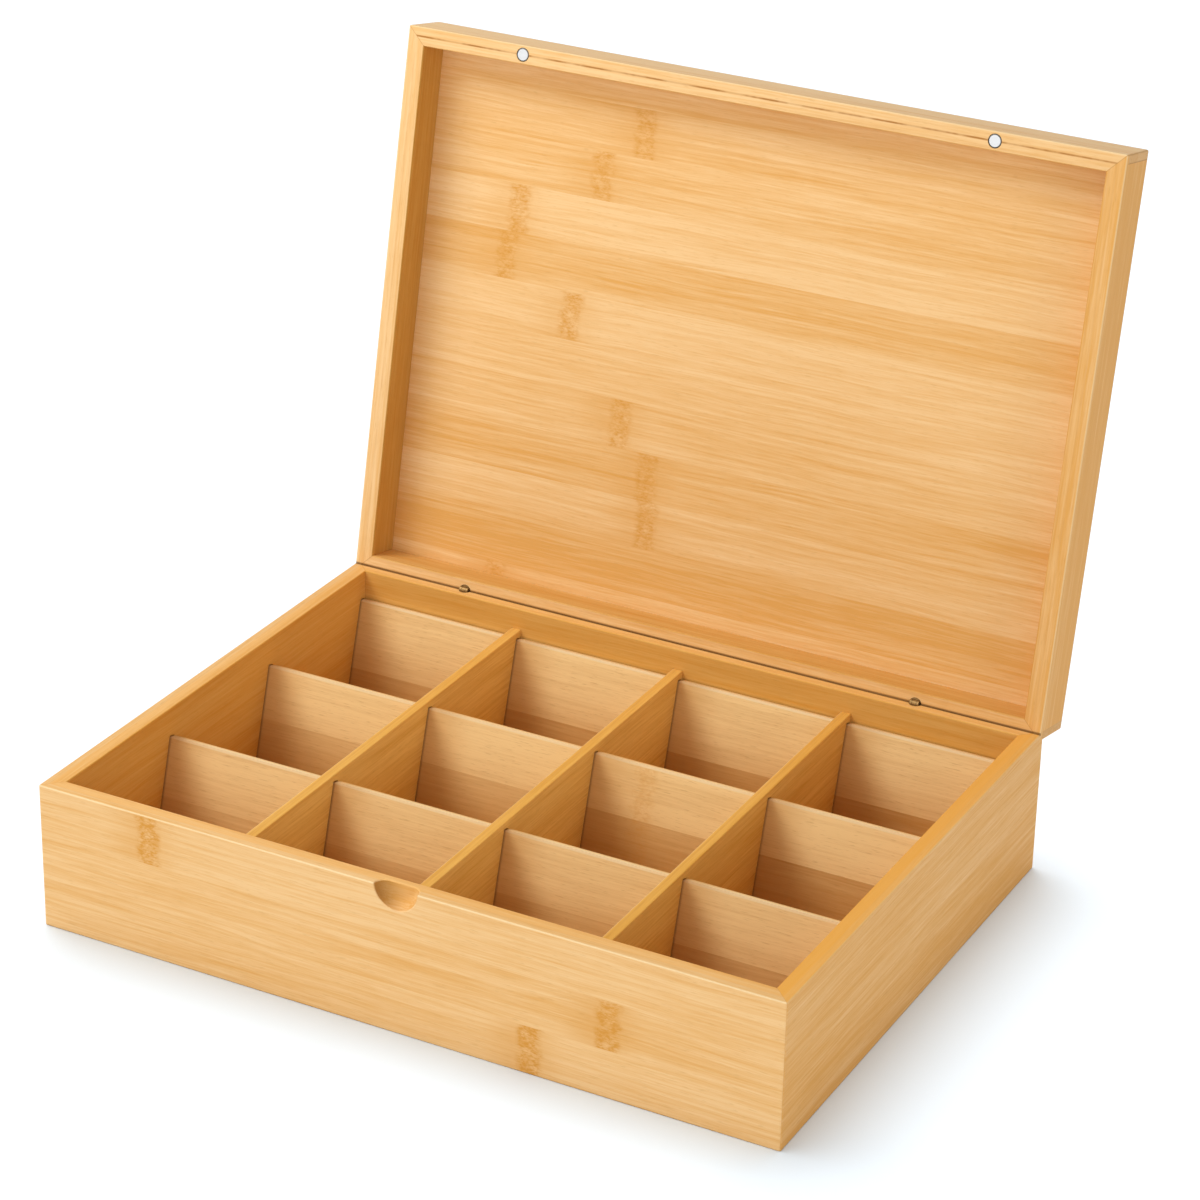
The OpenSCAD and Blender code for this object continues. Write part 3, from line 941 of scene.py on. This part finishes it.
class TEABOX_OT_lid_board(bpy.types.Operator):
    """Gives the lid board its strips and growth rings"""
    bl_idname = "teabox.lid_board"
    bl_label = "Lid Board"

    def execute(self, context):
        strips = [(0.0, None), (0.05, -57.5), (-0.1, -76.5), (0.6, -116.5), (-0.4, -120.5), (0.4, -84.5),
                  (0.3, None), (0.0, -53.5), (-0.6, -37.5), (0.1, -34.5), (-1.1, None), (-0.1, -108.5)]
        edges = even_edges(LID_STRIPS_START, LID_STRIP, len(strips))
        board = Board("XYZ", square=CLOSED, edges=edges, strips=strips, seed=401.0, rings=0.75)
        paint_node("lid_board", bamboo("lid_board_bamboo", board))
        return {"FINISHED"}


class TEABOX_OT_catch(bpy.types.Operator):
    """Bevels and plates the lid magnets, with painted shade on their edges, and paints the steel discs"""
    bl_idname = "teabox.catch"
    bl_label = "Magnets and Discs"

    def execute(self, context):
        settings = context.scene.tea_box
        plating = metal("nickel_plating", settings.metal.nickel, roughness=0.5, fleck=0.08, grain=2.0,
                        metallic=0.6)
        # painted shade on the magnets' edge and side
        rim = metal("nickel_rim", settings.metal.nickel_rim, roughness=0.4, fleck=0.1, grain=2.0)
        steel = metal("catch_steel_face", settings.metal.steel, roughness=0.4, fleck=0.1, grain=1.5)
        axis = CLOSED.inverted().to_3x3() @ Vector((0.0, 0.0, 1.0))
        face_on = 0.99                        # a flat end's normal has at least this much of the axis
        for side in ("left", "right"):
            node = f"lid_magnet_{side}"
            bm = clean_mesh(node, CLOSED)
            bevel(bm, edges_between(bm, level, upright), settings.edges.magnet, segments=2)
            piece = finish_piece(bm, node, "lid", CLOSED, suffix="plated")
            paint(piece, plating)
            piece.data.materials.append(rim)
            for face in piece.data.polygons:
                face.material_index = int(abs(face.normal.dot(axis)) < face_on)
            paint_node(f"catch_disc_{side}", steel)
        return {"FINISHED"}


class TEABOX_OT_hinges(bpy.types.Operator):
    """Gives the hinges their bronze finish"""
    bl_idname = "teabox.hinges"
    bl_label = "Hinges"

    def execute(self, context):
        colour = context.scene.tea_box.metal.bronze
        bronze = metal("aged_bronze", colour, roughness=0.45, fleck=0.3, grain=0.9, metallic=0.8)
        for side in ("left", "right"):
            for part in ("base", "lid", "pin"):
                paint_node(f"{side}_hinge_{part}", bronze)
        return {"FINISHED"}


class TEABOX_OT_stage(bpy.types.Operator):
    """Makes the floor, the light and the camera, when all pieces are made"""
    bl_idname = "teabox.stage"
    bl_label = "Stage"

    def execute(self, context):
        studio = context.scene.tea_box.studio
        floor = make_floor(studio)
        make_sky(studio)
        make_soft_box("key", studio.key, studio.key_place, studio.box_size, floor)
        make_soft_box("fill", studio.fill, studio.fill_place, studio.fill_size, floor)
        make_soft_box("side", studio.side, studio.side_place, studio.box_size, floor)
        make_floor_lamp(studio, floor)
        make_camera(studio)
        context.scene.view_settings.view_transform = "Standard"
        return {"FINISHED"}


def backdrop_ray(g):
    """1 for a ray that shows the backdrop itself, in the picture, in a gloss or through glass"""
    rays = g.node("ShaderNodeLightPath")
    shown = g.math("MAXIMUM", rays.outputs["Is Camera Ray"], rays.outputs["Is Glossy Ray"])
    return g.math("MAXIMUM", shown, rays.outputs["Is Transmission Ray"])


def make_floor(studio):
    """A square sheet of matt paper under the box"""
    half = studio.floor_size / 2
    mesh = bpy.data.meshes.new("floor")
    corners = [(x * half, y * half, 0.0) for x, y in ((-1, -1), (1, -1), (1, 1), (-1, 1))]
    mesh.from_pydata(corners, [], [(0, 1, 2, 3)])
    floor = bpy.data.objects.new("floor", mesh)
    bpy.context.scene.collection.objects.link(floor)
    g = MaterialGraph("floor_paper")
    g.feed(g.shader.inputs["Base Color"], g.mix(backdrop_ray(g), studio.floor_bounce, studio.floor_seen))
    g.shader.inputs["Roughness"].default_value = 0.9
    g.shader.inputs["Specular IOR Level"].default_value = 0.0
    mesh.materials.append(g.material)
    return floor


def make_sky(studio):
    """Soft light from all round, and white where the camera, a gloss or a glass sees it"""
    world = bpy.data.worlds.new("studio_sky")
    bpy.context.scene.world = world
    g = Graph(world)
    strength = g.math("MULTIPLY_ADD", backdrop_ray(g), 1.0 - studio.sky, studio.sky)
    back = g.tree.nodes["Background"]
    g.feed(back.inputs["Color"], g.mix(backdrop_ray(g), studio.sky_tint, WHITE))
    g.feed(back.inputs["Strength"], strength)


def looking(place, aim):
    """The matrix of a lamp or a camera that stands at one point and looks at another"""
    return Matrix.Translation(place) @ (aim - place).to_track_quat("-Z", "Y").to_matrix().to_4x4()


def make_lamp(name, kind, energy, place, receivers, state):
    """A lamp that looks at the box, and lights the receivers alone (INCLUDE) or all but them (EXCLUDE)"""
    light = bpy.data.lights.new(name, kind)
    light.energy = energy
    lamp = bpy.data.objects.new(name, light)
    lamp.matrix_world = looking(Vector(place), Vector((0.0, 0.0, BASE_HIGH.z)))
    lamp.visible_camera = False
    bpy.context.scene.collection.objects.link(lamp)
    lit = bpy.data.collections.new(f"{name}_lit")
    lamp.light_linking.receiver_collection = lit
    link_all(lit, receivers, state)
    return lamp


def link_all(collection, pieces, state):
    """Puts pieces in a collection that a lamp is linked to, as INCLUDE or EXCLUDE"""
    for k, piece in enumerate(pieces):
        collection.objects.link(piece)
        collection.collection_objects[k].light_linking.link_state = state


def make_soft_box(name, power, place, size, floor):
    """A square soft box, which leaves the floor alone"""
    lamp = make_lamp(name, "AREA", power, place, [floor], "EXCLUDE")
    lamp.data.shape = "SQUARE"
    lamp.data.size = size


def make_floor_lamp(studio, floor):
    """A broad lamp above the floor alone, for a short soft shadow of the base"""
    lamp = make_lamp("floor_lamp", "SUN", studio.floor_lamp, studio.floor_lamp_place, [floor], "INCLUDE")
    lamp.data.angle = studio.floor_lamp_spread
    shade = bpy.data.collections.new("floor_lamp_shade")
    lamp.light_linking.blocker_collection = shade
    lid = [o for o in bpy.context.scene.objects if o.name.startswith("lid_") or "hinge_lid" in o.name]
    link_all(shade, lid, "EXCLUDE")


def make_camera(studio):
    data = bpy.data.cameras.new("camera")
    data.sensor_width = 36.0
    data.lens = studio.lens
    camera = bpy.data.objects.new("camera", data)
    stand = looking(Vector(studio.camera_place), Vector(studio.camera_aim))
    camera.matrix_world = stand @ Matrix.Rotation(studio.camera_roll, 4, "Z")
    bpy.context.scene.collection.objects.link(camera)
    bpy.context.scene.camera = camera


class TEABOX_PT_panel(bpy.types.Panel):
    """Lists the settings and the steps of the box"""
    bl_label = "Tea Box"
    bl_idname = "TEABOX_PT_panel"
    bl_space_type = "VIEW_3D"
    bl_region_type = "UI"
    bl_category = "Tea Box"

    def draw(self, context):
        settings = context.scene.tea_box
        for group in (settings.edges, settings.wood, settings.metal, settings.studio):
            box = self.layout.box()
            for name in group.bl_rna.properties.keys():
                if name not in ("name", "rna_type"):
                    box.prop(group, name)
        for step in STEPS:
            self.layout.operator(step.bl_idname)


GROUPS = (TeaBoxEdges, TeaBoxWood, TeaBoxMetal, TeaBoxStudio, TeaBoxSettings)
STEPS = (TEABOX_OT_walls, TEABOX_OT_bottom, TEABOX_OT_dividers, TEABOX_OT_panels, TEABOX_OT_lid_frame,
         TEABOX_OT_lid_board, TEABOX_OT_catch, TEABOX_OT_hinges, TEABOX_OT_stage)


def register():
    for kind in (*GROUPS, *STEPS, TEABOX_PT_panel):
        bpy.utils.register_class(kind)
    bpy.types.Scene.tea_box = PointerProperty(type=TeaBoxSettings)


def unregister():
    del bpy.types.Scene.tea_box
    for kind in reversed((*GROUPS, *STEPS, TEABOX_PT_panel)):
        bpy.utils.unregister_class(kind)


def main():
    register()
    bpy.ops.teabox.walls()
    bpy.ops.teabox.bottom()
    bpy.ops.teabox.dividers()
    bpy.ops.teabox.panels()
    bpy.ops.teabox.lid_frame()
    bpy.ops.teabox.lid_board()
    bpy.ops.teabox.catch()
    bpy.ops.teabox.hinges()
    bpy.ops.teabox.stage()


if __name__ == "__main__":
    main()
